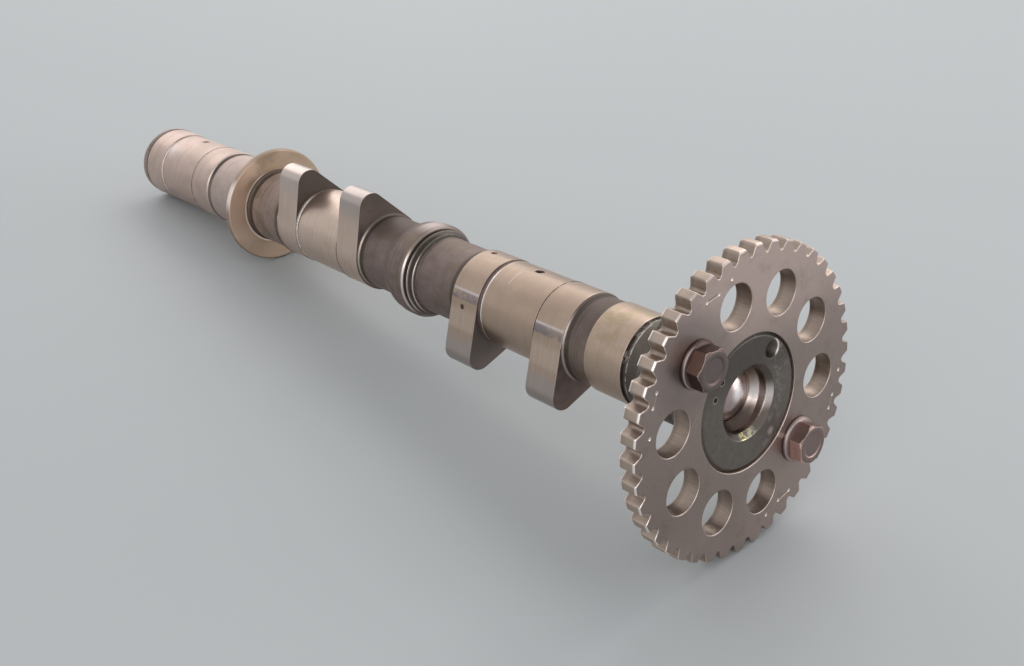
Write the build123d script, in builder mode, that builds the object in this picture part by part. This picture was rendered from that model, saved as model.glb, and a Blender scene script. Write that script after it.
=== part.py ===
from build123d import *
import os
from math import atan, cos, radians, sin

os.makedirs("parts", exist_ok=True)

# ---- driving dimensions: millimetres and degrees -------------------------------------------
# Angles run anticlockwise from the horizontal, seen from the sprocket end.

# timing sprocket: a flat blanked wheel for inverted-tooth chain
tooth_count = 42
tip_r = 42.5                    # over the tooth tips
tooth_height = 2.7
tip_land = 2.4                  # width of a tooth's flat top
root_width = 1.1                # width of the gap's foot before its corners are broken
root_break = 0.35
tip_bevel_radial = 0.3          # bevel on the tips, both faces
tip_bevel_axial = 0.8
sprocket_thickness = 5.2
lightening_hole_r = 6.05
lightening_circle_r = 28.95
hole_step = 36.0                # ten stations, two of them taken by bolts
locating_clearance = 0.03       # sprocket bore over spigot

# flange bolts
bolt_angle = 137.0
bolt_circle_r = 27.55
bolt_r = 2.95
bolt_hole_r = 3.3
thread_clearance = 0.05         # tapped hole over bolt shank
hex_flats = 10.0
head_height = 5.3               # washer flange and hexagon together
washer_r = 6.3
washer_height = 1.2
head_bevel = 0.45
bolt_end_gap = 0.8              # bolt end short of the end flange's back
upper_hex_turn = 114.7          # direction of one corner of each head
lower_hex_turn = 96.1

# spigot, its boss and the two-eared end flange that carry the sprocket
spigot_r = 18.57
spigot_recess = 0.2             # spigot face below the sprocket's face
spigot_bevel = 1.0
boss_land = 0.8                 # boss over the spigot, as a radius
boss_rim = 2.0                  # straight part of the boss
boss_cone = 8.0                 # length of the cone behind it
end_flange_thickness = 6.0
end_flange_width = 24.0         # across its two flats
end_flange_corner_r = 7.0
end_wall = 6.0                  # metal from a bolt's centre to the ear's tip
index_hole_r = 2.45
index_circle_r = 14.7
index_angle = 52.4
index_depth = 7.0

# oil gallery, its mouth and its plug
mouth_r = 10.2
mouth_bevel = 1.45
counterbore_depth = 3.5
plug_bore_r = 7.1
seat_cone_depth = 2.1
plug_clearance = 0.02
plug_setback = 0.5              # plug's rim below the seat cone
plug_length = 7.0
plug_crown = 2.6                # height of its dome over the rim
crown_flat_r = 3.4              # flat middle of the dome
gallery_r = 3.0
gallery_end_wall = 9.0          # metal left at the far end
centre_hole_r = 3.0             # lathe centre in the far end
centre_hole_depth = 3.2
oil_hole_r = 1.4
lobe_oil_hole_r = 0.9
oil_hole_angle = 82.2
lobe_oil_hole_angle = 81.9
lobe_oil_hole_offset = 2.4      # away from the lobe's middle, to the far side

# journals, lobes and necks, in order from the sprocket to the far end
front_neck_length = 17.2
front_neck_r = 12.95
front_groove_width = 2.0        # sloped undercut beside the front journal
front_groove_r = 12.2
journal_r = 13.0
front_journal_length = 13.4
second_neck_length = 8.4
second_neck_r = 12.5
lobe_width = 11.3
journal_length = 23.9
pair_pitch = 94.6               # cylinder spacing
base_r = 13.2                   # cam base circle
lift = 9.3
nose_r = 4.7
lobe_angles = (227.0, 107.0, 347.0)   # noses of the near, middle and far pair
collar_neck_r = 12.15
far_neck_r = 12.85
far_stub_length = 3.7
far_stub_r = 13.05
far_bevel = 0.5
groove_width = 1.4              # sloped grinding relief at a journal's far side
groove_depth = 0.35
root_corner = 0.7               # as-cast neck into a face

# thrust flange: its near face lies this far beyond the middle pair's outer lobe
thrust_gap = 20.0
thrust_thickness = 2.2
thrust_r = 20.45
thrust_edge = 0.3
thrust_relief_width = 3.0
thrust_relief_r = 12.35

# ribbed collar: its near end lies this far beyond the near pair's outer lobe
collar_gap = 18.6
collar_r = 15.1
collar_land = 3.4
collar_edge = 0.9
collar_ramp = 9.0
ramp_knee = 3.0                 # where the ramp steepens, and its drop there
ramp_knee_drop = 0.5
rib_spacing = 1.8
rib_rise = 0.5                  # near flank of a rib, along the shaft
rib_r = (13.3, 14.1)            # crests, near one first
rib_valley_r = (12.6, 13.3)     # valleys on their far sides

# ---- stations along the shaft, from the sprocket's front face -------------------------------
spigot_face = -spigot_recess
flange_front = -sprocket_thickness
boss_back = flange_front - boss_rim - boss_cone
front_journal_near = boss_back - front_neck_length
front_journal_far = front_journal_near - front_journal_length
first_lobe_near = front_journal_far - second_neck_length
journal_mid = [first_lobe_near - lobe_width - journal_length / 2 - k * pair_pitch for k in range(3)]
outer_face = [m - journal_length / 2 - lobe_width for m in journal_mid]
inner_face = [m + journal_length / 2 + lobe_width for m in journal_mid]
far_end = outer_face[2] - far_stub_length
collar_near = outer_face[0] - collar_gap
thrust_near = outer_face[1] - thrust_gap
mouth_floor_r = mouth_r - mouth_bevel
cone_top = spigot_face - counterbore_depth
cone_bottom = cone_top - seat_cone_depth
plug_rim = cone_bottom - plug_setback
plug_seat = plug_rim - plug_length
gallery_end = far_end + gallery_end_wall
tapped_r = bolt_r + thread_clearance
bore_r = spigot_r + locating_clearance
root_r = tip_r - tooth_height
boss_r = spigot_r + boss_land
end_flange_r = bolt_circle_r + end_wall

# ---- how it lies: on the rear edge of two teeth and on the far end's rim ----------------------
half_pitch = 180 / tooth_count
# one tip's lower corner, from the shaft's axis: x through the gap beside it, y across
tip_corner_x = tip_r * cos(radians(half_pitch)) + tip_land / 2 * sin(radians(half_pitch))
tip_corner_y = tip_r * sin(radians(half_pitch)) - tip_land / 2 * cos(radians(half_pitch))
tooth_contact_s = flange_front + tip_bevel_axial
far_contact_s = far_end + far_bevel
rest_tilt = atan((tip_corner_x - far_stub_r) / (tooth_contact_s - far_contact_s))
rise, run = sin(rest_tilt), cos(rest_tilt)
hub_height = tip_corner_x * run - tooth_contact_s * rise
low_bolt_drop = -bolt_circle_r * sin(radians(bolt_angle + 180)) + hex_flats / 2
reach_front = head_height * run + low_bolt_drop * rise
reach_back = far_end * run - (far_stub_r - far_bevel) * rise
hub_x = -(reach_front + reach_back) / 2

# x to the right and y up as seen from the sprocket end, z along the shaft out of that end
shaft = Plane(origin=(hub_x, 0, hub_height), x_dir=(0, 1, 0), z_dir=(run, 0, rise))
axis = Axis(shaft.origin, shaft.z_dir)
# half-section plane: x is the radius, y the station along the shaft
section = Plane(origin=shaft.origin, x_dir=shaft.x_dir, z_dir=-shaft.y_dir)


def polar(radius, angle):
    return (radius * cos(radians(angle)), radius * sin(radians(angle)))


def from_axis(point):
    return (point - shaft.origin).cross(shaft.z_dir).length


def root(station, neck_r, side):
    """Cast corner where a neck meets a face at station; side is +1 or -1, the way the neck runs."""
    points = [(neck_r + root_corner, station), (neck_r, station + side * root_corner)]
    return points if side < 0 else points[::-1]


# ---- camshaft: one casting --------------------------------------------------------------------
outline = [(0, spigot_face), (spigot_r - spigot_bevel, spigot_face)]
outline += [(spigot_r, spigot_face - spigot_bevel), (spigot_r, flange_front), (boss_r, flange_front)]
outline += [(boss_r, flange_front - boss_rim), (front_neck_r, boss_back)]
outline += [(front_neck_r, front_journal_near + front_groove_width)]
outline += [(front_groove_r, front_journal_near), (journal_r, front_journal_near)]
outline += [(journal_r, front_journal_far)]
outline += [(second_neck_r, front_journal_far)] + root(inner_face[0], second_neck_r, 1)
for pair in range(3):
    outline += [(journal_r, inner_face[pair])]
    outline += [(journal_r, outer_face[pair] + lobe_width + groove_width)]
    outline += [(journal_r - groove_depth, outer_face[pair] + lobe_width)]
    outline += [(journal_r, outer_face[pair])]
    if pair == 0:
        outline += root(outer_face[0], collar_neck_r, -1) + [(collar_neck_r, collar_near)]
        for rib, (crest_r, valley_r) in enumerate(zip(rib_r, rib_valley_r)):
            outline += [(crest_r, collar_near - rib * rib_spacing - rib_rise)]
            outline += [(valley_r, collar_near - (rib + 1) * rib_spacing)]
        collar_face = collar_near - len(rib_r) * rib_spacing
        ramp_top = collar_face - collar_edge - collar_land
        outline += [(collar_r - collar_edge, collar_face), (collar_r, collar_face - collar_edge)]
        outline += [(collar_r, ramp_top), (collar_r - ramp_knee_drop, ramp_top - ramp_knee)]
        outline += [(collar_neck_r, ramp_top - collar_ramp)]
        outline += root(inner_face[1], collar_neck_r, 1)
    if pair == 1:
        thrust_far = thrust_near - thrust_thickness
        outline += root(outer_face[1], far_neck_r, -1) + [(far_neck_r, thrust_near + thrust_relief_width)]
        outline += [(thrust_relief_r, thrust_near + thrust_relief_width)]
        outline += root(thrust_near, thrust_relief_r, 1)
        outline += [(thrust_r - thrust_edge, thrust_near), (thrust_r, thrust_near - thrust_edge)]
        outline += [(thrust_r, thrust_far)]
        outline += root(thrust_far, far_neck_r, -1) + root(inner_face[2], far_neck_r, 1)
outline += [(far_stub_r, outer_face[2]), (far_stub_r, far_end + far_bevel)]
outline += [(far_stub_r - far_bevel, far_end), (0, far_end)]

with BuildPart() as camshaft:
    with BuildSketch(section):
        with BuildLine():
            Polyline(*outline, close=True)
        make_face()
    revolve(axis=axis)
    for pair, nose_angle in enumerate(lobe_angles):
        for near_face in (inner_face[pair], outer_face[pair] + lobe_width):
            with BuildSketch(shaft.offset(near_face)):
                Circle(base_r)
                with Locations(polar(base_r + lift - nose_r, nose_angle)):
                    Circle(nose_r)
                make_hull()
            extrude(amount=-lobe_width)
    with BuildSketch(shaft.offset(flange_front)):
        Circle(end_flange_r)
        Rectangle(2 * end_flange_r, end_flange_width, rotation=bolt_angle, mode=Mode.INTERSECT)
        fillet(vertices(), end_flange_corner_r)
    extrude(amount=-end_flange_thickness)
    with BuildSketch(shaft.offset(flange_front)):
        for turn in (0, 180):
            with Locations(polar(bolt_circle_r, bolt_angle + turn)):
                Circle(tapped_r)
    extrude(amount=-end_flange_thickness, mode=Mode.SUBTRACT)
    with BuildSketch(shaft.offset(spigot_face)):
        with Locations(polar(index_circle_r, index_angle)):
            Circle(index_hole_r)
    extrude(amount=-index_depth, mode=Mode.SUBTRACT)
    with BuildSketch(section):
        with BuildLine():
            Polyline(
                (0, spigot_face), (mouth_r, spigot_face), (mouth_floor_r, spigot_face - mouth_bevel),
                (mouth_floor_r, cone_top), (plug_bore_r, cone_bottom), (plug_bore_r, plug_seat),
                (gallery_r, plug_seat), (gallery_r, gallery_end), (0, gallery_end), close=True,
            )
        make_face()
    revolve(axis=axis, mode=Mode.SUBTRACT)
    with BuildSketch(section):
        with BuildLine():
            Polyline((0, far_end), (centre_hole_r, far_end), (0, far_end + centre_hole_depth), close=True)
        make_face()
    revolve(axis=axis, mode=Mode.SUBTRACT)
    lobe_hole_at = outer_face[0] + lobe_width / 2 - lobe_oil_hole_offset
    oil_holes = [(journal_mid[0], oil_hole_angle, oil_hole_r), (journal_mid[2], oil_hole_angle, oil_hole_r),
                 (lobe_hole_at, lobe_oil_hole_angle, lobe_oil_hole_r)]
    for station, angle, radius in oil_holes:
        outward = shaft.x_dir * cos(radians(angle)) + shaft.y_dir * sin(radians(angle))
        hole_plane = Plane(origin=shaft.origin + shaft.z_dir * station, x_dir=shaft.z_dir, z_dir=outward)
        with BuildSketch(hole_plane):
            Circle(radius)
        extrude(amount=base_r + lift, mode=Mode.SUBTRACT)

# ---- timing sprocket: a flat wheel with V-shaped tooth gaps ------------------------------------
with BuildPart() as cam_sprocket:
    with BuildSketch(shaft):
        with BuildSketch(mode=Mode.PRIVATE) as gap:
            with BuildLine():
                Polyline(
                    (root_r, -root_width / 2), (root_r, root_width / 2),
                    (2 * tip_corner_x - root_r, 2 * tip_corner_y - root_width / 2),
                    (2 * tip_corner_x - root_r, root_width / 2 - 2 * tip_corner_y), close=True,
                )
            make_face()
            chamfer(gap.vertices().sort_by(Axis.X)[:2], root_break)
        RegularPolygon(tip_r, tooth_count, major_radius=False, rotation=-90)
        with PolarLocations(0, tooth_count, start_angle=-90):
            add(gap.sketch, mode=Mode.SUBTRACT)
    extrude(amount=-sprocket_thickness)
    for face in (faces().sort_by(axis)[-1], faces().sort_by(axis)[0]):
        tips = face.edges().filter_by(lambda edge: from_axis(edge.center()) > tip_corner_x)
        chamfer(tips, tip_bevel_radial, tip_bevel_axial, reference=face)
    with BuildSketch(shaft):
        Circle(bore_r)
        for station in range(round(360 / hole_step)):
            if station % 5:
                with Locations(polar(lightening_circle_r, bolt_angle + station * hole_step)):
                    Circle(lightening_hole_r)
        for turn in (0, 180):
            with Locations(polar(bolt_circle_r, bolt_angle + turn)):
                Circle(bolt_hole_r)
    extrude(amount=-sprocket_thickness, mode=Mode.SUBTRACT)

# ---- flange bolts ------------------------------------------------------------------------------
bolt_length = sprocket_thickness + end_flange_thickness - bolt_end_gap
hex_corner_r = hex_flats / 2 / cos(radians(30))


def bolt_at(angle, hex_turn):
    """Flange bolt seated on the sprocket's face; hex_turn is the direction of one corner."""
    centre = shaft.from_local_coords(polar(bolt_circle_r, angle))
    seat = Plane(origin=centre, x_dir=shaft.x_dir, z_dir=shaft.z_dir)
    bolt_axis = Axis(centre, seat.z_dir)
    bolt_section = Plane(origin=centre, x_dir=seat.x_dir, z_dir=-seat.y_dir)
    with BuildPart() as bolt:
        with BuildSketch(seat):
            RegularPolygon(hex_corner_r, 6, rotation=hex_turn)
        extrude(amount=head_height)
        with BuildSketch(bolt_section):
            with BuildLine():
                Polyline(
                    (hex_flats / 2, head_height), (hex_corner_r, head_height),
                    (hex_corner_r, head_height - head_bevel), close=True,
                )
            make_face()
        revolve(axis=bolt_axis, mode=Mode.SUBTRACT)
        with BuildSketch(bolt_section):
            with BuildLine():
                Polyline(
                    (0, washer_height), (washer_r, washer_height), (washer_r, 0), (bolt_r, 0),
                    (bolt_r, -bolt_length), (0, -bolt_length), close=True,
                )
            make_face()
        revolve(axis=bolt_axis)
    return bolt.part


upper_bolt = bolt_at(bolt_angle, upper_hex_turn)
lower_bolt = bolt_at(bolt_angle + 180, lower_hex_turn)

with BuildPart() as sprocket_bolt_upper:
    add(upper_bolt)

with BuildPart() as sprocket_bolt_lower:
    add(lower_bolt)

# ---- oil plug: a domed steel plug pressed into the spigot's bore --------------------------------
plug_r = plug_bore_r - plug_clearance

with BuildPart() as oil_plug:
    with BuildSketch(section):
        with BuildLine():
            Polyline(
                (0, plug_rim + plug_crown), (crown_flat_r, plug_rim + plug_crown), (plug_r, plug_rim),
                (plug_r, plug_seat), (0, plug_seat), close=True,
            )
        make_face()
    revolve(axis=axis)

# ---- named solids out --------------------------------------------------------------------------
camshaft.part.label = "camshaft"
cam_sprocket.part.label = "cam_sprocket"
sprocket_bolt_upper.part.label = "sprocket_bolt_upper"
sprocket_bolt_lower.part.label = "sprocket_bolt_lower"
oil_plug.part.label = "oil_plug"
export_step(camshaft.part, "parts/camshaft.step")
export_step(cam_sprocket.part, "parts/cam_sprocket.step")
export_step(sprocket_bolt_upper.part, "parts/sprocket_bolt_upper.step")
export_step(sprocket_bolt_lower.part, "parts/sprocket_bolt_lower.step")
export_step(oil_plug.part, "parts/oil_plug.step")
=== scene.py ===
import bpy
from math import cos, radians, sin, tau
from mathutils import Matrix, Vector


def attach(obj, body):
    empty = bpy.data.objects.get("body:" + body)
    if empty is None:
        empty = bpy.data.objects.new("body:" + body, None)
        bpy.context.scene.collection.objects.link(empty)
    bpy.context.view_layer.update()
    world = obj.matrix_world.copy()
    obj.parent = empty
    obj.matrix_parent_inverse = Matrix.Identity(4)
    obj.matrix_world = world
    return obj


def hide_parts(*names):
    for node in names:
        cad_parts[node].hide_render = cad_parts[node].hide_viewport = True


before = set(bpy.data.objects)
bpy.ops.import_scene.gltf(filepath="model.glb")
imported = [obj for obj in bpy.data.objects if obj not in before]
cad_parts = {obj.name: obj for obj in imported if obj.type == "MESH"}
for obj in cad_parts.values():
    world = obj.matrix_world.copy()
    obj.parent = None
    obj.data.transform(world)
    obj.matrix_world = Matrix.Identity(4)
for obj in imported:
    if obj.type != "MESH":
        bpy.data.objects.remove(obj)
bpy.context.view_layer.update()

# ---- Camshaft ---------------------------------------------------------------------------------
# One iron casting. Its lobes and journals are ground bright, the necks between them and the
# sides of the lobes keep a darker skin, and the thin thrust flange is turned.

# Places are told in millimetres along the shaft from the sprocket's front face (negative) and
# out from its axis, and in degrees round it as seen from the sprocket end.
first_lobe = -54.2              # near side of the first lobe
cylinder_step = 94.6
journal_end, pair_end = 35.2, 46.5      # from the near side of a pair of lobes
front_journal = (-45.85, -32.35)
ribbed = (-122.95, -119.2)      # the fine ribs at the near end of the collar
thrust_flange = (-217.6, -215.2)
far_rim = (-288.9, -290.2)      # where the far end's rim darkens
mouth_r = 10.25                 # mouth of the oil gallery
index_hole = (14.7, 52.4)       # out and turn, as are the dots
punched_dots = ((14.4, 137.3), (14.4, 155.5))
lobe_pit = (13.4, 175.3, -95.7)         # out, turn and along

# The shaft's axis climbs towards the sprocket: rise and run for each metre of it.
rise = 0.10138
run = (1 - rise ** 2) ** 0.5
hub = Vector((0.1428375, 0.0, 0.0426981))
to_row = Matrix(((0, -rise, run), (1, 0, 0), (0, run, rise)))


def on_shaft(across, up, along):
    """A point given in millimetres in the shaft's own directions, as metres in the row."""
    return hub + to_row @ Vector((across, up, along)) / 1000


class Shade:
    """A socket of a material, used like a number in sums. Colours and vectors go through mix."""

    def __init__(self, tree, socket=None):
        self.tree = tree
        self.socket = socket

    def node(self, kind, settings=None, sockets=None, out=0):
        """Adds a node: its settings first, then values or links for its sockets."""
        made = self.tree.nodes.new(kind)
        for name, value in (settings or {}).items():
            setattr(made, name, value)
        for name, value in (sockets or {}).items():
            if isinstance(value, Shade):
                self.tree.links.new(value.socket, made.inputs[name])
            else:
                made.inputs[name].default_value = value
        return Shade(self.tree, made.outputs[out])

    def sum(self, operation, *others):
        """One Math node on this and other values."""
        return self.node("ShaderNodeMath", {"operation": operation}, dict(enumerate(others)))

    def __add__(self, other):
        return self.sum("ADD", self, other)

    __radd__ = __add__

    def __sub__(self, other):
        return self.sum("SUBTRACT", self, other)

    def __rsub__(self, other):
        return self.sum("SUBTRACT", other, self)

    def __mul__(self, other):
        return self.sum("MULTIPLY", self, other)

    __rmul__ = __mul__

    def __mod__(self, other):
        return self.sum("FLOORED_MODULO", self, other)

    def __abs__(self):
        return self.sum("ABSOLUTE", self)

    def root(self):
        return self.sum("POWER", self, 0.5)

    def most(self, other):
        return self.sum("MAXIMUM", self, other)

    def least(self, other):
        return self.sum("MINIMUM", self, other)

    def rising(self, low, high):
        """0 below low, 1 above high, with soft ends; a high under the low falls instead."""
        if low > high:
            return 1 - self.rising(high, low)
        settings = {"interpolation_type": "SMOOTHSTEP"}
        return self.node("ShaderNodeMapRange", settings, {0: self, 1: low, 2: high, 3: 0.0, 4: 1.0})

    def between(self, low, high, soft):
        """1 from low to high, 0 outside, with ends that are soft by as much on either side."""
        return self.rising(low - soft, low + soft) * self.rising(high + soft, high - soft)

    def mix(self, first, second):
        """A colour from first to second by this value."""
        settings = {"data_type": "RGBA"}
        first = first if isinstance(first, Shade) else (*first, 1.0)
        second = second if isinstance(second, Shade) else (*second, 1.0)
        return self.node("ShaderNodeMix", settings, {0: self, 6: first, 7: second}, out=2)

    def noise(self, place, detail, roughness):
        """Soft noise from 0 to 1 over a place whose own stretch sets its size."""
        sockets = {"Vector": place, "Scale": 1.0, "Detail": detail, "Roughness": roughness}
        return self.node("ShaderNodeTexNoise", {}, sockets)


class ShaftPlace:
    """Where a shaded point lies on the shaft: across, up, along and out in mm, turn in degrees."""

    def __init__(self, tree):
        base = Shade(tree)
        row = base.node("ShaderNodeTexCoord", out=3)
        to_millimetres = (0.001, 0.001, 0.001)
        sockets = {0: row, 1: tuple(hub), 2: tuple(to_row.to_euler()), 3: to_millimetres}
        self.point = base.node("ShaderNodeMapping", {"vector_type": "TEXTURE"}, sockets)
        self.across = base.node("ShaderNodeSeparateXYZ", {}, {0: self.point}, out=0)
        self.up = base.node("ShaderNodeSeparateXYZ", {}, {0: self.point}, out=1)
        self.along = base.node("ShaderNodeSeparateXYZ", {}, {0: self.point}, out=2)
        self.out = (self.across * self.across + self.up * self.up).root()
        self.turn = base.sum("ARCTAN2", self.up, self.across) * (360 / tau)
        normal = base.node("ShaderNodeTexCoord", out=1)
        settings = {"operation": "DOT_PRODUCT"}
        axis = tuple(to_row @ Vector((0, 0, 1)))
        self.facing = base.node("ShaderNodeVectorMath", settings, {0: normal, 1: axis}, out=1)
        self.base = base

    def at(self, across, up, along):
        """The pattern's place stretched by these factors across, up and along the shaft."""
        settings = {"operation": "MULTIPLY"}
        sockets = {0: self.point, 1: (across, up, along)}
        return self.base.node("ShaderNodeVectorMath", settings, sockets)

    def evenly(self, scale):
        """The pattern's place stretched alike in every direction."""
        return self.at(scale, scale, scale)

    def ring(self, scale_round, scale_out, scale_along):
        """A place for marks that run round the shaft: turn, out and along as three numbers."""
        sockets = {0: self.turn * scale_round, 1: self.out * scale_out, 2: self.along * scale_along}
        return self.base.node("ShaderNodeCombineXYZ", {}, sockets)

    def near(self, out, turn, along=None):
        """Distance in mm from a point, across the face, or along it too where along is given."""
        across = self.across - out * cos(radians(turn))
        up = self.up - out * sin(radians(turn))
        squares = across * across + up * up
        if along is not None:
            further = self.along - along
            squares = squares + further * further
        return squares.root()


def finish_of(name):
    """A new metal material, its tree and its shader node."""
    made = bpy.data.materials.new(name)
    made.use_nodes = True
    shader = made.node_tree.nodes["Principled BSDF"]
    shader.inputs["Metallic"].default_value = 1.0
    return made, made.node_tree, shader


def wear(tree, shader, colour, roughness, height):
    """Joins colour, roughness and relief, whose height is in millimetres, to a shader."""
    sockets = {"Strength": 1.0, "Distance": 0.001, "Height": height}
    bump = Shade(tree).node("ShaderNodeBump", {}, sockets)
    tree.links.new(colour.socket, shader.inputs["Base Color"])
    tree.links.new(roughness.socket, shader.inputs["Roughness"])
    tree.links.new(bump.socket, shader.inputs["Normal"])


shaft_skin, tree, shader = finish_of("camshaft_iron")
place = ShaftPlace(tree)
base = place.base

# Noise: cutting lines round the shaft, cloudy stains, the grain of the casting and patches that break up
# painted highlights.
fine = base.noise(place.ring(0.004, 0.02, 6.0), 3.0, 0.6)
lines = base.noise(place.ring(0.012, 0.1, 2.2), 3.0, 0.7)
scuffs = base.noise(place.ring(0.02, 0.3, 14.0), 2.0, 0.5)
lumps = base.noise(place.ring(0.9, 2.0, 3.0), 2.0, 0.6)
broad = base.noise(place.at(0.06, 0.06, 0.045), 3.0, 0.55)
cloudy = base.noise(place.at(0.3, 0.3, 0.22), 4.0, 0.6)
blotch = base.noise(place.evenly(0.11), 3.0, 0.5)
speck = base.noise(place.evenly(2.2), 4.0, 0.7)
patchy = base.noise(place.evenly(0.6), 4.0, 0.7)

# How far beyond the first lobe, and how far into a pair of lobes with its journal.
from_first_lobe = first_lobe - place.along
in_pair = from_first_lobe % cylinder_step
first_pair = from_first_lobe.rising(50, 48) * from_first_lobe.rising(-1, 0)
second_pair = from_first_lobe.between(cylinder_step, cylinder_step + 46.6, 0.1)
later = from_first_lobe.rising(60, 80)
far = from_first_lobe.rising(80, 200)
last_neck = from_first_lobe.rising(162, 168)
last_pair = from_first_lobe.rising(170, 180)

# Where the metal is ground, and where it is the dark side of a lobe.
side_face = abs(place.facing).rising(0.5, 0.8)
pair_band = in_pair.between(0.0, pair_end, 0.06) * from_first_lobe.rising(-0.05, 0.05)
front_band = place.along.between(*front_journal, 0.02)
ground = (pair_band + front_band).least(1.0) * (1 - side_face) * place.out.rising(12.86, 12.94)
lobe_side = pair_band * side_face * place.out.rising(12.9, 13.1)

# Necks: brown-grey, paler towards the far end, streaked by oil and by the lathe, with painted shade on the
# tops of two necks.
dark_skin, skin = (0.145, 0.110, 0.100), (0.34, 0.264, 0.238)
pale_skin, paler_skin = (0.34, 0.262, 0.220), (0.50, 0.398, 0.345)
last_skin, last_pale_skin = (0.42, 0.335, 0.295), (0.66, 0.55, 0.50)
oil_stain, lathe_line, neck_top_shade = (0.20, 0.165, 0.11), (0.085, 0.066, 0.058), (0.075, 0.060, 0.050)
grit, front_neck_shade = (0.55, 0.48, 0.44), (0.07, 0.055, 0.047)
neck = cloudy.mix(dark_skin, skin)
pale_neck = cloudy.mix(pale_skin, paler_skin)
pale_neck = last_neck.mix(pale_neck, cloudy.mix(last_skin, last_pale_skin))
neck = far.mix(neck, pale_neck)
neck = (blotch.rising(0.5, 0.62) * (1 - last_neck) * 0.45).mix(neck, oil_stain)
neck = (lines.rising(0.55, 0.72) * (0.5 - 0.35 * last_neck)).mix(neck, lathe_line)
# Painted shade on top of the neck before the second pair.
painted_top_shade = place.turn.between(50, 118, 25) * from_first_lobe.between(76, 96, 3) * (0.3 + 0.6 * cloudy)
neck = painted_top_shade.mix(neck, neck_top_shade)
neck = (speck.rising(0.66, 0.74) * 0.4).mix(neck, grit)
# Painted shade on top of the neck before the first lobe.
second_neck = place.along.between(first_lobe, -45.8, 0.3) * place.turn.between(60, 150, 20)
neck = (second_neck * 0.5).mix(neck, front_neck_shade)
neck_rough = 0.50 + 0.16 * cloudy + 0.1 * speck

# Darker and mottled in the corner beside each lobe, with painted shade on top of the corners by the last
# neck and a painted highlight on the corner's rim, mostly on the left.
corner_dark, corner_top_shade, corner_rim_highlight = (0.06, 0.048, 0.04), (0.09, 0.068, 0.055), (0.55, 0.47, 0.42)
beside = in_pair.between(pair_end, 48.9, 0.5) + in_pair.between(92.4, cylinder_step, 0.5)
beside = (beside * (1 - pair_band) * place.out.rising(13.2, 12.9)).least(1.0)
neck = (beside * (0.35 + 0.5 * blotch)).mix(neck, corner_dark)
# Painted shade on top of the corners by the last neck.
neck = (beside * last_neck * place.turn.between(60, 146, 12) * 0.8).mix(neck, corner_top_shade)
# A painted highlight on the corner's rim, mostly on the left.
rim = in_pair.between(46.62, 47.0, 0.12) + in_pair.between(94.1, 94.48, 0.12)
left = (place.across + place.out * 0.45).rising(0, -6)
rim = (rim * from_first_lobe.rising(-0.9, -0.7)).least(1.0) * (1 - ground) * (0.15 + 0.85 * left)
neck = (rim * 0.75).mix(neck, corner_rim_highlight)
neck_rough = neck_rough - 0.22 * rim

# The thrust flange is turned: khaki bronze with painted light on its left, its edge brown with one painted
# glint, its foot a painted highlight ring, and darker beside its foot.
khaki_bronze, light_bronze, painted_light_bronze = (0.37, 0.272, 0.195), (0.60, 0.455, 0.345), (0.86, 0.655, 0.515)
olive_film, brown_edge = (0.21, 0.17, 0.105), (0.25, 0.19, 0.145)
edge_glint, foot_highlight = (0.92, 0.82, 0.75), (0.95, 0.84, 0.72)
foot_dark, turned_cut_and_highlight = (0.085, 0.066, 0.052), (0.62, 0.54, 0.48)
thrust = place.along.between(*thrust_flange, 0.06) * place.out.rising(13.0, 13.3)
turned_lines = base.noise(place.ring(0.01, 5.0, 0.2), 3.0, 0.6)
bronze = (broad * 0.6 + turned_lines * 0.4).mix(khaki_bronze, light_bronze)
# Painted light on the left of the face.
bronze = (place.across.rising(-2, -12) * place.up.rising(-16, -6) * 0.8).mix(bronze, painted_light_bronze)
olive = place.turn.between(55, 140, 25) * blotch.rising(0.35, 0.6)
bronze = (olive * 0.5).mix(bronze, olive_film)
rim_side = place.out.rising(20.1, 20.3)
bronze = (rim_side * 0.7).mix(bronze, brown_edge)
# A painted glint on the left of its rim.
glint = rim_side * place.turn.between(143, 168, 8)
bronze = (glint * 0.8).mix(bronze, edge_glint)
# A painted highlight ring at its foot, on the left.
left_side = (place.across + place.out * 0.2).rising(0, -4)
foot_highlight_ring = place.out.between(13.35, 13.8, 0.1) * thrust * left_side
bronze = foot_highlight_ring.mix(bronze, foot_highlight)
neck = thrust.mix(neck, bronze)
neck_rough = thrust * (0.44 + 0.14 * turned_lines) + (1 - thrust) * neck_rough
cut = place.along.between(-212.6, -212.2, 0.1)
# Darker on the neck beside its foot.
hollow = place.along.between(-215.5, -212.8, 0.25) * place.out.rising(13.35, 13.2)
neck = (hollow * 0.8).mix(neck, foot_dark)
# A turned cut, painted brighter on the left as a highlight.
neck = (cut * (0.25 + 0.55 * left_side)).mix(neck, turned_cut_and_highlight)

# The ribbed end of the collar: crests with a painted highlight, strongest on the left, the valleys full of
# greenish oil, and a painted highlight on the collar's crown.
valley_brown, valley_green, valley_grit = (0.085, 0.062, 0.053), (0.040, 0.034, 0.022), (0.50, 0.45, 0.39)
crown_highlight, crest_highlight = (0.64, 0.555, 0.525), (0.80, 0.72, 0.68)
ribs = place.along.between(*ribbed, 0.1)
# Painted highlights on the crests, strongest on the left.
crest = place.along.between(-119.93, -119.65, 0.08) + place.along.between(-121.70, -121.45, 0.08)
crest = crest + place.along.between(-123.45, -122.95, 0.1) * place.out.rising(14.1, 14.3)
flank = (place.across + place.out * 0.62).rising(0, -4)
crest = (crest * (0.10 + 0.90 * flank)).least(1.0)
oily = place.turn.between(60, 150, 25) * speck.rising(0.35, 0.6)
gunk = oily.mix(valley_brown, valley_green)
gunk = (speck.rising(0.58, 0.66) * 0.35).mix(gunk, valley_grit)
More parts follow.
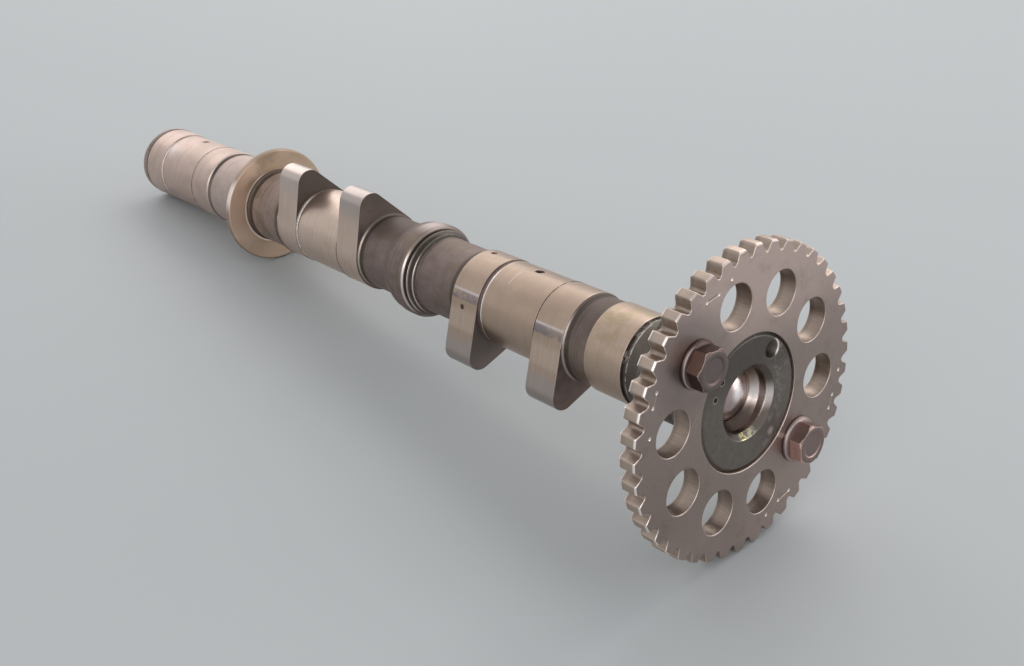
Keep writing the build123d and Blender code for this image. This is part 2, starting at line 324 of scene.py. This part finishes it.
# A painted highlight on top of the collar's crown.
crown = place.along.between(-128.0, -123.2, 1.4) * place.turn.between(70, 100, 12)
neck = (crown * 0.65).mix(neck, crown_highlight)
neck = (ribs * (1 - crest)).mix(neck, gunk)
neck = (crest * (0.7 + 0.3 * cloudy)).mix(neck, crest_highlight)
neck_rough = neck_rough * (1 - 0.5 * (ribs + crest).least(1.0))

# The neck behind the sprocket is wet with dark oil, with painted highlights on it.
black_oil, brown_oil = (0.052, 0.043, 0.037), (0.195, 0.163, 0.141)
lip_highlight, patch_highlight = (0.58, 0.51, 0.46), (0.52, 0.475, 0.425)
wet = place.along.between(-32.4, -5.2, 0.15) * (1 - ground)
neck = wet.mix(neck, (cloudy * 0.7 + speck * 0.3).mix(black_oil, brown_oil))
# Painted highlights, broken up, along the lip of the groove and in patches on the groove's upper side.
lip = place.along.between(-30.75, -30.3, 0.1) * patchy.rising(0.42, 0.56)
neck = (lip * 0.85).mix(neck, lip_highlight)
groove_highlight = place.along.between(-32.5, -30.8, 0.1) * patchy.rising(0.50, 0.58)
groove_highlight = groove_highlight * place.turn.between(84, 162, 5)
neck = (groove_highlight * 0.65).mix(neck, patch_highlight)
neck_rough = neck_rough - 0.2 * wet * blotch

# Ground metal: warm beige with painted shade on top and painted light on the flats that face left, pinker
# on the later pairs, with a painted highlight on the last journal.
beige_dark, beige_light = (0.41, 0.298, 0.225), (0.58, 0.440, 0.350)
top_shade_brown, flat_light_beige = (0.30, 0.225, 0.175), (0.70, 0.555, 0.46)
far_beige, far_light, second_beige = (0.52, 0.400, 0.345), (0.72, 0.565, 0.50), (0.80, 0.64, 0.54)
gleam_highlight, far_stain = (0.98, 0.90, 0.86), (0.40, 0.315, 0.27)
grinding_line, straw, bright_scratch = (0.33, 0.25, 0.20), (0.50, 0.40, 0.28), (0.72, 0.65, 0.60)
beige = broad.mix(beige_dark, beige_light)
# Painted shade on top.
beige = (place.turn.between(45, 138, 20) * (0.6 - 0.35 * front_band)).mix(beige, top_shade_brown)
# Painted light on the flats that face left.
flat = place.out.rising(13.2, 13.8) * (place.across + place.out * 0.93).rising(0, -0.4)
beige = (flat * 0.5).mix(beige, flat_light_beige)
beige = far.mix(beige, broad.mix(far_beige, far_light))
beige = (second_pair * 0.6).mix(beige, second_beige)
# A painted highlight on the last journal, near its far groove.
gleam = place.turn.between(118, 140, 9) * from_first_lobe.rising(212, 222)
gleam = gleam * from_first_lobe.rising(223.4, 222.9) * (0.4 + 0.6 * cloudy)
beige = (gleam * 0.6).mix(beige, gleam_highlight)
beige = (far * blotch.rising(0.45, 0.65) * 0.35).mix(beige, far_stain)
beige = (fine.rising(0.45, 0.7) * 0.4).mix(beige, grinding_line)
beige = (cloudy.rising(0.5, 0.75) * 0.35).mix(beige, straw)
scratch = scuffs.rising(0.74, 0.78) * cloudy.rising(0.5, 0.6)
beige = (scratch * 0.6).mix(beige, bright_scratch)
beige_rough = 0.28 - 0.04 * far + 0.14 * last_pair + 0.10 * broad + 0.08 * fine

# Dark lines where a lobe meets its journal, and worn edges.
seam_oil, worn_edge = (0.11, 0.085, 0.07), (0.70, 0.60, 0.53)
seams = in_pair.between(11.25, 11.6, 0.08) + in_pair.between(33.85, 35.1, 0.15)
seams = (seams * pair_band).least(1.0)
beige = (seams * 0.8).mix(beige, seam_oil)
edges = in_pair.between(-0.1, 0.22, 0.06) + in_pair.between(46.28, 46.6, 0.06)
edges = edges + in_pair.between(10.98, 11.2, 0.05) + in_pair.between(33.5, 33.8, 0.05)
edges = (edges * pair_band + place.along.between(-32.75, -32.3, 0.08)).least(1.0)
beige = (edges * 0.35).mix(beige, worn_edge)

# The followers left a bright line and a bluish patch on the first lobes. One scratch on top of
# the near journal, and a khaki stain on the front one.
bluish, line_white, scratch_white = (0.215, 0.20, 0.23), (0.72, 0.68, 0.68), (0.80, 0.72, 0.66)
khaki_stain = (0.30, 0.245, 0.13)
first_lobes = in_pair.between(0.2, 11.2, 0.15) + in_pair.between(35.3, 46.4, 0.15)
first_lobes = first_pair * first_lobes.least(1.0)
rubbed = first_lobes * place.turn.between(154.6, 166, 1.5) * cloudy.rising(0.35, 0.6)
beige = (rubbed * 0.7).mix(beige, bluish)
worn_line = first_lobes * place.turn.between(151.6, 154.6, 1.2) * (0.35 + 0.9 * cloudy).least(1.0)
beige = (worn_line * 0.8).mix(beige, line_white)
beige_rough = beige_rough - 0.08 * rubbed
stroke = place.along.between(-81.4, -81.2, 0.06) * place.turn.between(98, 124, 3)
beige = (stroke * 0.5).mix(beige, scratch_white)
khaki = front_band * place.turn.between(70, 150, 25) * cloudy.rising(0.42, 0.62)
beige = (khaki * 0.5).mix(beige, khaki_stain)

# The noses are polished by their followers and painted grey, partly as a painted reflection of the floor;
# the outer near lobe has a small pit, and the far end's rim is darker.
nose_grey_reflection, far_nose_grey_reflection = (0.40, 0.372, 0.362), (0.80, 0.675, 0.63)
pit_black, rim_grey = (0.06, 0.04, 0.03), (0.33, 0.27, 0.245)
# Polished noses, painted grey partly as a reflection of the floor.
polish_and_reflection = place.out.rising(15.5, 19.5) * (0.45 + 0.4 * cloudy)
beige = polish_and_reflection.mix(beige, far.mix(nose_grey_reflection, far_nose_grey_reflection))
beige_rough = beige_rough - 0.07 * polish_and_reflection
pit = (place.near(*lobe_pit) - 0.5 * speck).rising(0.75, 0.35)
beige = (pit * 0.9).mix(beige, pit_black)
beige = (place.along.rising(*far_rim) * 0.7).mix(beige, rim_grey)

# The sides of the lobes are nearly black, with faint turned arcs.
side_dark, side_light, side_first = (0.070, 0.056, 0.050), (0.158, 0.129, 0.115), (0.30, 0.255, 0.235)
side_lines = base.noise(place.ring(0.01, 3.5, 0.1), 3.0, 0.6)
side = (cloudy * 0.6 + side_lines * 0.4).mix(side_dark, side_light)
side = (first_pair * 0.48).mix(side, side_first)

# A lumpy painted highlight runs round the root of each far lobe of a pair, on the left.
lump_highlight = (0.97, 0.90, 0.86)
near_root = in_pair.between(33.35, 33.8, 0.12)
later_root = in_pair.between(34.45, journal_end, 0.12)
root_highlight_ring = (1 - later) * near_root + later * later_root
root_highlight_ring = root_highlight_ring * pair_band * place.out.rising(13.45, 13.15)
root_highlight_ring = root_highlight_ring * (place.across + place.out * 0.3).rising(2, -4)

# The spigot's face is a mottled grey-green, with pale specks, two punched dots, and painted light and
# shade.
spigot_dark, spigot_light, spigot_top_shade = (0.105, 0.094, 0.083), (0.205, 0.182, 0.162), (0.070, 0.062, 0.055)
sheen_grey, fleck_grey, spigot_rim_highlight = (0.40, 0.36, 0.33), (0.36, 0.34, 0.31), (0.50, 0.44, 0.40)
dot_rim_highlight, dot_black, spigot_glint = (0.55, 0.51, 0.47), (0.03, 0.028, 0.025), (0.52, 0.47, 0.44)
hole_wall, hole_lip_highlight = (0.42, 0.34, 0.29), (0.85, 0.77, 0.72)
spigot = place.along.rising(-3.9, -3.6) * place.out.rising(18.8, 18.7)
mottle = base.noise(place.evenly(0.45), 5.0, 0.65)
flecks_noise = base.noise(place.evenly(1.5), 3.0, 0.6)
green = mottle.mix(spigot_dark, spigot_light)
# Painted shade towards the top.
green = (place.up.rising(2, 12) * 0.65).mix(green, spigot_top_shade)
# A streaky painted sheen on its right.
right_sheen = (place.across - place.up * 0.2).between(8.5, 14, 2)
right_sheen = right_sheen * (mottle * 0.7 + flecks_noise * 0.3).rising(0.5, 0.62)
green = (right_sheen * 0.3).mix(green, sheen_grey)
flecks = flecks_noise.rising(0.66, 0.72)
green = (flecks * 0.55).mix(green, fleck_grey)
# A painted highlight round its rim.
bright = place.out.rising(18.0, 18.25) * place.along.rising(-1.4, -1.1)
green = (bright * 0.6).mix(green, spigot_rim_highlight)
dots = place.near(*punched_dots[0]).least(place.near(*punched_dots[1]))
# Painted highlights round the punched dots.
green = (dots.rising(1.15, 0.85) * 0.4).mix(green, dot_rim_highlight)
green = dots.rising(0.85, 0.62).mix(green, dot_black)
# A painted glint near the lower bolt.
green = (place.near(14.8, -52.6).rising(1.7, 0.3) * 0.6).mix(green, spigot_glint)
index_wall = place.near(*index_hole).rising(2.9, 2.5) * place.along.between(-9.0, -0.6, 0.2)
index_wall = index_wall * side_face.rising(0.5, 0.2)
green = (index_wall * 0.8).mix(green, hole_wall)
# A painted highlight on one side of the index hole's lip.
index_lip = place.near(*index_hole).between(2.35, 2.95, 0.12) * place.near(16.6, 46.0).rising(3.2, 1.6)
green = index_lip.mix(green, hole_lip_highlight)

# The mouth of the oil gallery: turned bright, darker in its counterbore, with painted shadow towards the
# bottom, painted shade at the top, a painted dark reflection on its cone, one painted lit patch on that
# cone and a trace of yellow grease.
mouth_dark, mouth_light, counterbore_dark = (0.27, 0.205, 0.17), (0.62, 0.51, 0.45), (0.075, 0.055, 0.045)
bottom_shadow, top_shade, cone_dark_reflection = (0.07, 0.052, 0.042), (0.17, 0.135, 0.115), (0.11, 0.096, 0.082)
lit_highlight, pale_grease, yellow_grease = (0.98, 0.89, 0.86), (0.60, 0.54, 0.38), (0.88, 0.80, 0.36)
mouth = place.out.rising(mouth_r, mouth_r - 0.15) * place.along.rising(-13.2, -13.1)
bore_lines = base.noise(place.ring(0.01, 0.3, 2.4), 3.0, 0.6)
bore = bore_lines.mix(mouth_dark, mouth_light)
bore = (place.along.between(-3.7, -1.9, 0.35) * 0.75).mix(bore, counterbore_dark)
# Painted shadow towards the bottom.
bottom = place.up.rising(-2.5, -5.5) * place.along.rising(-3.6, -3.8)
bore = (bottom * 0.9).mix(bore, bottom_shadow)
# Painted shade at the top.
bore = (place.up.rising(2.5, 5.5) * 0.5).mix(bore, top_shade)
# A painted dark reflection on the cone, and one painted lit patch on it.
lit = place.across.rising(4.0, 8.0) * place.up.between(-3.2, 0.4, 2.8)
cone = place.out.rising(8.7, 8.85) * (1 - lit)
bore = (cone * 0.85).mix(bore, cone_dark_reflection)
bore = (lit * 0.9).mix(bore, lit_highlight)
grease = place.turn.rising(-92, -100).mix(pale_grease, yellow_grease)
greasy = place.turn.between(-105, -72, 5) * place.along.rising(-1.95, -1.75)
greasy = greasy * flecks_noise.rising(0.38, 0.55)
bore = (greasy * 0.85).mix(bore, grease)

colour = lobe_side.mix(ground.mix(neck, beige), side)
# The lumpy painted highlight at the roots of the far lobes.
colour = (root_highlight_ring * (0.35 + 0.65 * lumps.rising(0.3, 0.6))).mix(colour, lump_highlight)
colour = spigot.mix(colour, green)
colour = mouth.mix(colour, bore)
roughness = ground * beige_rough + (1 - ground) * neck_rough
roughness = lobe_side * (0.48 + 0.2 * cloudy) + (1 - lobe_side) * roughness
roughness = roughness - 0.1 * root_highlight_ring
roughness = spigot * (0.40 + 0.12 * mottle) + (1 - spigot) * roughness
roughness = mouth * (0.24 - 0.08 * lit + 0.12 * bore_lines) + (1 - mouth) * roughness
height = fine * 0.006 + (1 - ground) * (speck * 0.02 + cloudy * 0.04 + lines * 0.012)
height = height - seams * 0.12 - pit * 0.2 - scratch * 0.004
height = height - spigot * dots.rising(0.8, 0.3) * 0.25
metal = 1 - 0.5 * (glint + foot_highlight_ring + root_highlight_ring * lumps).least(1.0) - 0.6 * ribs * (1 - crest)
tree.links.new(metal.socket, shader.inputs["Metallic"])
wear(tree, shader, colour, roughness, height)


def finish_edges(piece, edge):
    """Rounds a piece's sharp edges by edge mm and smooths its shading, flat faces kept flat."""
    rounding = piece.modifiers.new("rounding", "BEVEL")
    rounding.width = edge / 1000
    rounding.segments = 2
    rounding.angle_limit = radians(28)
    rounding.use_clamp_overlap = False
    bpy.ops.object.modifier_apply(modifier="rounding")
    bpy.ops.object.shade_smooth_by_angle(angle=radians(50))
    shading = piece.modifiers.new("shading", "WEIGHTED_NORMAL")
    shading.keep_sharp = True
    bpy.ops.object.modifier_apply(modifier="shading")


def rounded_copy(node, edge, skin):
    """A piece with a CAD node's own shape, its sharp edges rounded by edge mm."""
    bpy.ops.object.select_all(action="DESELECT")
    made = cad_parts[node].copy()
    made.data = made.data.copy()
    made.name = node + "_detailed"
    bpy.context.scene.collection.objects.link(made)
    bpy.context.view_layer.objects.active = made
    made.select_set(True)
    bpy.ops.object.mode_set(mode="EDIT")
    bpy.ops.mesh.select_all(action="SELECT")
    bpy.ops.mesh.remove_doubles(threshold=1e-6)
    bpy.ops.mesh.customdata_custom_splitnormals_clear()
    bpy.ops.mesh.tris_convert_to_quads(face_threshold=radians(1), shape_threshold=radians(180))
    bpy.ops.mesh.dissolve_limited(angle_limit=radians(0.5))
    bpy.ops.object.mode_set(mode="OBJECT")
    finish_edges(made, edge)
    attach(made, "root")
    dress(made, node, skin)


def dress(piece, node, skin):
    """Gives a piece its one material and puts it in the place of the plain node."""
    piece.data.materials.clear()
    piece.data.materials.append(skin)
    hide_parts(node)


rounded_copy("camshaft", 0.25, shaft_skin)

# ---- Timing sprocket --------------------------------------------------------------------------
# A flat wheel blanked from steel, with V-shaped gaps for an inverted-tooth chain and holes that
# lighten it. Its face is surface-ground, with short stamped timing lines near the rim.

# Places on its face, each as out and turn.
upper_bolt, lower_bolt = (27.55, 137.0), (27.55, 317.0)
timing_lines = [((37.42, 116.4), (36.36, 109.6)), ((38.41, 153.9), (38.28, 159.5)),
                ((37.74, 341.4), (37.66, 335.6)), ((36.60, 290.3), (37.63, 297.4))]
timing_dots = [(37.33, 101.5), (37.55, 170.9), (38.54, 351.9), (37.18, 281.8)]
glint_streak_ends = ((18.9, -49.2), (21.3, -47.4))

sprocket_skin, tree, shader = finish_of("sprocket_steel")
place = ShaftPlace(tree)
base = place.base
face = abs(place.facing).rising(0.75, 0.95)
broad = base.noise(place.evenly(0.045), 3.0, 0.5)
stain = base.noise(place.evenly(0.16), 4.0, 0.6)
grain = base.noise(place.evenly(1.6), 4.0, 0.7)
rolled = base.noise(place.at(0.25, 5.0, 0.25), 3.0, 0.6)
sheared = base.noise(place.at(2.4, 2.4, 0.25), 3.0, 0.6)

# Faces: satin taupe, painted lighter towards the upper rim and a little towards the bottom as light falling
# on them, with some random tone.
taupe_dark, taupe_light, stain_brown = (0.295, 0.236, 0.213), (0.505, 0.396, 0.361), (0.17, 0.125, 0.10)
grain_light, grain_dark = (0.55, 0.47, 0.42), (0.11, 0.08, 0.065)
painted_light_gradient = (place.up.rising(0, 38) * 0.75 + place.up.rising(-12, -40) * 0.35 + broad * 0.5).rising(0.2, 1.0)
taupe = painted_light_gradient.mix(taupe_dark, taupe_light)
taupe = (stain.rising(0.5, 0.75) * 0.3).mix(taupe, stain_brown)
taupe = (grain.rising(0.45, 0.8) * 0.2).mix(taupe, grain_light)
taupe = (grain.rising(0.42, 0.28) * 0.35).mix(taupe, grain_dark)

# Walls of the teeth and holes: beige brown where the punch sheared them, torn towards the back, with a
# painted glint on the rounded edges of the left-hand teeth.
wall_dark, wall_light, torn_brown = (0.265, 0.202, 0.158), (0.50, 0.405, 0.345), (0.16, 0.115, 0.085)
edge_pink, tip_beige, tooth_glint = (0.66, 0.56, 0.52), (0.56, 0.45, 0.375), (0.95, 0.86, 0.80)
wall = sheared.mix(wall_dark, wall_light)
depth_in = place.along * -1
wall = (depth_in.rising(3.2, 4.4) * 0.4).mix(wall, torn_brown)
rounded_edge = abs(place.facing).between(0.2, 0.85, 0.12)
wall = (rounded_edge * 0.8).mix(wall, edge_pink)
wall = (place.out.rising(41.6, 42.3) * (1 - rounded_edge) * 0.5).mix(wall, tip_beige)
# A painted glint on the rounded edges of the teeth on the left.
lit_teeth = place.out.rising(40.6, 41.3) * rounded_edge * place.across.rising(-24, -34)
wall = lit_teeth.mix(wall, tooth_glint)


def cut_line(first, last):
    """How near a point is to a straight cut between two places, each given by out and turn."""
    x1, y1 = first[0] * cos(radians(first[1])), first[0] * sin(radians(first[1]))
    x2, y2 = last[0] * cos(radians(last[1])), last[0] * sin(radians(last[1]))
    length = ((x2 - x1) ** 2 + (y2 - y1) ** 2) ** 0.5
    way = (x2 - x1) / length, (y2 - y1) / length
    over, high = place.across - x1, place.up - y1
    further = (over * way[0] + high * way[1]).most(0.0).least(length)
    over, high = over - further * way[0], high - further * way[1]
    return (over * over + high * high).root()


# Painted shade round the upper bolt and at the upper left, and a painted glint by the lower bolt.
shade_taupe, glint_streak_light = (0.19, 0.16, 0.15), (0.78, 0.71, 0.67)
shaded = place.near(*upper_bolt).rising(17, 7) + place.across.rising(-14, -34) * place.up.rising(2, 22)
taupe = (shaded.least(1.0) * 0.6).mix(taupe, shade_taupe)
glint_streak = cut_line(*glint_streak_ends)
taupe = (glint_streak.rising(1.1, 0.2) * 0.6).mix(taupe, glint_streak_light)

# Timing lines: short cuts near the rim with a dot at their ends, and four dots alone.
cut_light, cut_dark, dot_light = (0.60, 0.50, 0.38), (0.10, 0.07, 0.05), (0.80, 0.72, 0.66)
cuts = cut_line(*timing_lines[0])
end_dots = place.near(*timing_dots[0])
for first, last in timing_lines[1:]:
    cuts = cuts.least(cut_line(first, last))
for first, last in timing_lines:
    end_dots = end_dots.least(place.near(*first)).least(place.near(*last))
for dot in timing_dots[1:]:
    end_dots = end_dots.least(place.near(*dot))
front = place.along.rising(-0.3, -0.1)
taupe = (front * cuts.rising(0.42, 0.30) * 0.55).mix(taupe, cut_light)
taupe = (front * cuts.rising(0.2, 0.1) * 0.5).mix(taupe, cut_dark)
taupe = (front * end_dots.rising(0.62, 0.45)).mix(taupe, dot_light)

colour = face.mix(wall, taupe)
roughness = face * (0.30 + 0.12 * broad + 0.08 * grain) + (1 - face) * (0.34 + 0.2 * sheared)
height = grain * 0.012 + rolled * 0.003 + (1 - face) * sheared * 0.02
height = height - front * (cuts.rising(0.36, 0.12) * 0.12 + end_dots.rising(0.6, 0.2) * 0.15)
wear(tree, shader, colour, roughness, height)
rounded_copy("cam_sprocket", 0.3, sprocket_skin)

# ---- Sprocket bolts ---------------------------------------------------------------------------
# Two flanged hexagon bolts clamp the sprocket to the shaft's end flange.
# Heat and oil have turned them reddish brown.

# Sizes in millimetres, from the sprocket's face. Rings are radius and height.
half_flats = 5.0
round_steps = 96
shank_rings = [(2.5, -10.4), (2.95, -9.95), (2.95, 0.0), (6.0, 0.0), (6.25, 0.15), (6.3, 0.4), (6.25, 0.75),
               (6.0, 1.0), (5.6, 1.2), (5.0, 1.35)]
head_rings = [(5.9, 1.1), (5.9, 4.55), (5.5, 4.9), (5.05, 5.2), (4.7, 5.3),
              (3.7, 5.3), (3.5, 5.25), (3.3, 5.1), (3.0, 5.03)]
bolt_reach = (20.15, 18.79)     # the bolts' axes from the shaft's, across and up
upper_corner, lower_corner = 114.7, 96.1        # direction of one corner of each hexagon

bolt_skin, tree, shader = finish_of("bolt_steel")
place = ShaftPlace(tree)
base = place.base
mottle = base.noise(place.evenly(0.4), 4.0, 0.6)
grain = base.noise(place.evenly(2.5), 3.0, 0.6)
top = place.facing.rising(0.8, 0.97)
washer = place.along.rising(1.7, 1.4)
flats = (1 - top) * (1 - washer)
upper = place.up.rising(-1, 1)
bolt_across = place.across + bolt_reach[0] * (2 * upper - 1)
bolt_up = place.up - bolt_reach[1] * (2 * upper - 1)
from_bolt = place.near(*upper_bolt).least(place.near(*lower_bolt))

# The lower bolt is redder and lighter than the upper one, and the washer flanges are plum, with painted
# shade on top of the upper washer and a painted highlight on the washers' left rims.
copper_dark, copper_light = (0.15, 0.090, 0.078), (0.36, 0.235, 0.205)
red_dark, red_light = (0.72, 0.41, 0.36), (0.98, 0.69, 0.62)
top_dark, top_light = (0.105, 0.085, 0.080), (0.20, 0.168, 0.158)
plum_dark, plum_light, lower_plum = (0.10, 0.068, 0.062), (0.25, 0.18, 0.168), (0.40, 0.325, 0.31)
washer_top_shade, washer_rim_highlight = (0.085, 0.060, 0.050), (0.70, 0.62, 0.60)
copper = mottle.mix(copper_dark, copper_light)
copper = place.up.rising(0, -10).mix(copper, mottle.mix(red_dark, red_light))
copper = (top * 0.9).mix(copper, grain.mix(top_dark, top_light))
copper = (washer * 0.85).mix(copper, mottle.mix(plum_dark, plum_light))
copper = (washer * (1 - upper) * 0.6).mix(copper, lower_plum)
# Painted shade on top of the upper washer.
shade = washer * upper * bolt_up.rising(-1, 2) * bolt_across.rising(-4.5, -1)
copper = (shade * 0.75).mix(copper, washer_top_shade)
# A painted highlight on the left of each washer's rim.
washer_rim = from_bolt.between(5.9, 6.12, 0.06) * washer * bolt_across.rising(-1, -4)
copper = (washer_rim * 0.6).mix(copper, washer_rim_highlight)


def above(corner):
    """How far in mm a point lies above the line from its bolt's axis through a corner."""
    return bolt_across * sin(radians(corner)) - bolt_up * cos(radians(corner))


# Flats in shade are painted nearly black, the ones on the left are red.
upper_red, flat_shade_black, worn_copper = (0.155, 0.096, 0.080), (0.095, 0.066, 0.060), (0.50, 0.40, 0.35)
dark = above(upper_corner).rising(-0.1, 0.2) + above(upper_corner + 60).rising(0.1, -0.2)
dark = upper * dark.least(1.0)
dark = dark + (1 - upper) * above(lower_corner + 60).rising(-0.1, 0.2)
copper = (flats * upper * 0.8).mix(copper, upper_red)
copper = (flats * dark * 0.75).mix(copper, flat_shade_black)
worn = abs(place.facing).between(0.25, 0.8, 0.1) * place.along.rising(1.2, 1.5)
copper = (worn * 0.7).mix(copper, worn_copper)
roughness = 0.34 + 0.16 * mottle + 0.08 * grain
wear(tree, shader, copper, roughness, grain * 0.015 + mottle * 0.02)


def turned(name, rings):
    """A solid turned on a lathe: a disc pushed out ring by ring, each radius and height in mm."""
    bpy.ops.object.select_all(action="DESELECT")
    radius, height = rings[0]
    disc = {"vertices": round_steps, "radius": radius / 1000, "fill_type": "NGON"}
    bpy.ops.mesh.primitive_circle_add(**disc, location=(0, 0, height / 1000))
    made = bpy.context.object
    made.name = name
    bpy.ops.object.transform_apply()
    bpy.ops.object.mode_set(mode="EDIT")
    bpy.ops.mesh.select_all(action="SELECT")
    for (radius, height), (next_radius, next_height) in zip(rings, rings[1:]):
        step = {"value": (0, 0, (next_height - height) / 1000)}
        bpy.ops.mesh.extrude_region_move(TRANSFORM_OT_translate=step)
        grow = next_radius / radius
        centre = (0, 0, next_height / 1000)
        bpy.ops.transform.resize(value=(grow, grow, 1), center_override=centre)
    bpy.ops.mesh.select_all(action="SELECT")
    bpy.ops.mesh.normals_make_consistent(inside=False)
    bpy.ops.object.mode_set(mode="OBJECT")
    return made


def seated(piece, across, up, turn):
    """Takes a piece modelled about the origin to its place on the shaft, turned about its axis."""
    seat = Matrix.Translation(on_shaft(across, up, 0)) @ to_row.to_4x4()
    piece.matrix_world = seat @ Matrix.Rotation(radians(turn), 4, "Z")
    bpy.ops.object.select_all(action="DESELECT")
    bpy.context.view_layer.objects.active = piece
    piece.select_set(True)
    bpy.ops.object.transform_apply()
    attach(piece, "root")


def flange_bolt(node, axis, corner_turn):
    """Shank and washer flange turned first, then a round head cut to a hexagon by six flats."""
    shank = turned(node + "_shank", shank_rings)
    made = turned(node + "_detailed", head_rings)
    bpy.ops.object.mode_set(mode="EDIT")
    for side in range(6):
        bpy.ops.mesh.select_all(action="SELECT")
        outward = (sin(side * tau / 6 + tau / 12), cos(side * tau / 6 + tau / 12), 0)
        flat = {"plane_co": [half_flats / 1000 * part for part in outward], "plane_no": outward}
        bpy.ops.mesh.bisect(**flat, use_fill=True, clear_outer=True)
    bpy.ops.mesh.select_all(action="SELECT")
    bpy.ops.mesh.remove_doubles(threshold=2e-6)
    bpy.ops.mesh.normals_make_consistent(inside=False)
    bpy.ops.object.mode_set(mode="OBJECT")
    finish_edges(made, 0.12)
    shank.select_set(True)
    made.select_set(True)
    bpy.context.view_layer.objects.active = made
    bpy.ops.object.shade_smooth_by_angle(angle=radians(50))
    bpy.ops.object.join()
    out, turn = axis
    seated(made, out * cos(radians(turn)), out * sin(radians(turn)), corner_turn - 90)
    dress(made, node, bolt_skin)


flange_bolt("sprocket_bolt_upper", upper_bolt, upper_corner)
flange_bolt("sprocket_bolt_lower", lower_bolt, lower_corner)

# ---- Oil plug ---------------------------------------------------------------------------------
# A drawn steel cup with a domed end, pressed into the mouth of the oil gallery.
# It is bright and smooth, with a thin oil film, painted shade on the upper dome, a painted highlight near
# its middle and another round its rim.

# Its wall from the inner end to the rim, then its dome: radius and height in millimetres.
dome_r, dome_angle, dome_steps, dome_foot = 10.1, 42.0, 14, -6.35
plug_rings = [(6.6, -13.3), (7.08, -12.8), (7.08, -6.9), (7.0, -6.55), (6.8, dome_foot)]
for step in reversed(range(dome_steps)):
    slope = radians(dome_angle * (step + 0.3) / dome_steps)
    crown = dome_r * (cos(slope) - cos(radians(dome_angle)))
    plug_rings.append((dome_r * sin(slope), dome_foot + crown))

film_dark, film_light, film_shade = (0.40, 0.312, 0.30), (0.58, 0.474, 0.46), (0.27, 0.215, 0.205)
dome_highlight, plug_rim_highlight = (0.98, 0.93, 0.90), (0.98, 0.90, 0.87)
plug_skin, tree, shader = finish_of("plug_steel")
place = ShaftPlace(tree)
base = place.base
film = base.noise(place.evenly(0.25), 3.0, 0.5)
scored = base.noise(place.at(0.4, 4.0, 0.4), 2.0, 0.6)
colour = film.mix(film_dark, film_light)
# Painted shade on the upper dome, a painted highlight near its middle and one round its rim.
colour = (place.near(4.8, 96.0).rising(3.2, 1.4) * 0.4).mix(colour, film_shade)
shine = place.near(1.0, 60.0).rising(3.0, 0.8)
colour = shine.mix(colour, dome_highlight)
plug_rim = place.out.rising(6.3, 6.6)
colour = (plug_rim * 0.9).mix(colour, plug_rim_highlight)
roughness = 0.21 + 0.10 * film + 0.15 * plug_rim
wear(tree, shader, colour, roughness, film * 0.02 + scored * 0.002)
plug = turned("oil_plug_detailed", plug_rings)
finish_edges(plug, 0.1)
seated(plug, 0, 0, 0)
dress(plug, "oil_plug", plug_skin)

# ---- Floor ------------------------------------------------------------------------------------
# A plain pale table top, painted a cool grey. It carries the shaft on two teeth of the sprocket
# and on the rim of the far end.

floor_grey = (0.37, 0.385, 0.39, 1.0)
bpy.ops.object.select_all(action="DESELECT")
bpy.ops.mesh.primitive_plane_add(size=6.0, location=(0, 0, 0))
floor = bpy.context.object
floor.name = "floor"
floor_paint, tree, shader = finish_of("floor_paint")
shader.inputs["Metallic"].default_value = 0.0
shader.inputs["Base Color"].default_value = floor_grey
shader.inputs["Roughness"].default_value = 0.6
floor.data.materials.append(floor_paint)

# ---- Lights -----------------------------------------------------------------------------------
# Four broad soft lamps: a window above and beyond the shaft, one past its far end, a low door
# beyond the sprocket, and a fill on the near side. The room itself is a pale even grey.


def lamp(name, place, aim, size, strength, tint):
    """A soft rectangular lamp at a place, facing a point: metres and watts."""
    data = bpy.data.lights.new(name, "AREA")
    data.shape = "RECTANGLE"
    data.size, data.size_y = size
    data.energy = strength
    data.color = tint
    made = bpy.data.objects.new(name, data)
    bpy.context.scene.collection.objects.link(made)
    made.location = place
    made.rotation_euler = (Vector(aim) - Vector(place)).to_track_quat("-Z", "Y").to_euler()


lamp("window", (-0.15, 0.75, 0.75), (0, 0, 0.02), (0.9, 0.6), 4.3, (1.0, 0.97, 0.95))
lamp("far_window", (-0.85, 0.28, 0.50), (-0.10, 0, 0.03), (1.0, 0.6), 2.3, (1.0, 0.97, 0.96))
lamp("door", (0.95, 0.85, 0.25), (0.14, 0, 0.04), (0.6, 0.4), 2.8, (1.0, 0.98, 0.96))
lamp("fill", (0.5, -0.9, 0.7), (-0.05, 0, 0.02), (0.9, 0.9), 4.8, (1.0, 0.98, 0.96))
world = bpy.data.worlds.new("room")
world.use_nodes = True
world.node_tree.nodes["Background"].inputs["Color"].default_value = (0.95, 0.97, 1.0, 1.0)
world.node_tree.nodes["Background"].inputs["Strength"].default_value = 0.75
bpy.context.scene.world = world

# ---- Camera -----------------------------------------------------------------------------------
# Stands on the sprocket's near side, above the shaft, with a short shift for the framing.
# Its place and its three directions are told in the shaft's own directions.

camera_place = (-235.80, 167.20, 182.22)
right = to_row @ Vector((0.73816, -0.04849, 0.67288))
upward = to_row @ Vector((0.26677, 0.93710, -0.22511))
forward = to_row @ Vector((0.61964, -0.34567, -0.70467))
facing = Matrix((right, upward, -forward)).transposed().to_quaternion()
camera = bpy.data.cameras.new("camera")
camera.sensor_width = 36.0
camera.lens = 46.64
camera.shift_y = -0.1372
camera.clip_start = 0.01
eye = bpy.data.objects.new("camera", camera)
bpy.context.scene.collection.objects.link(eye)
eye.matrix_world = Matrix.LocRotScale(on_shaft(*camera_place), facing, None)
bpy.context.scene.camera = eye
bpy.context.scene.view_settings.view_transform = "Standard"
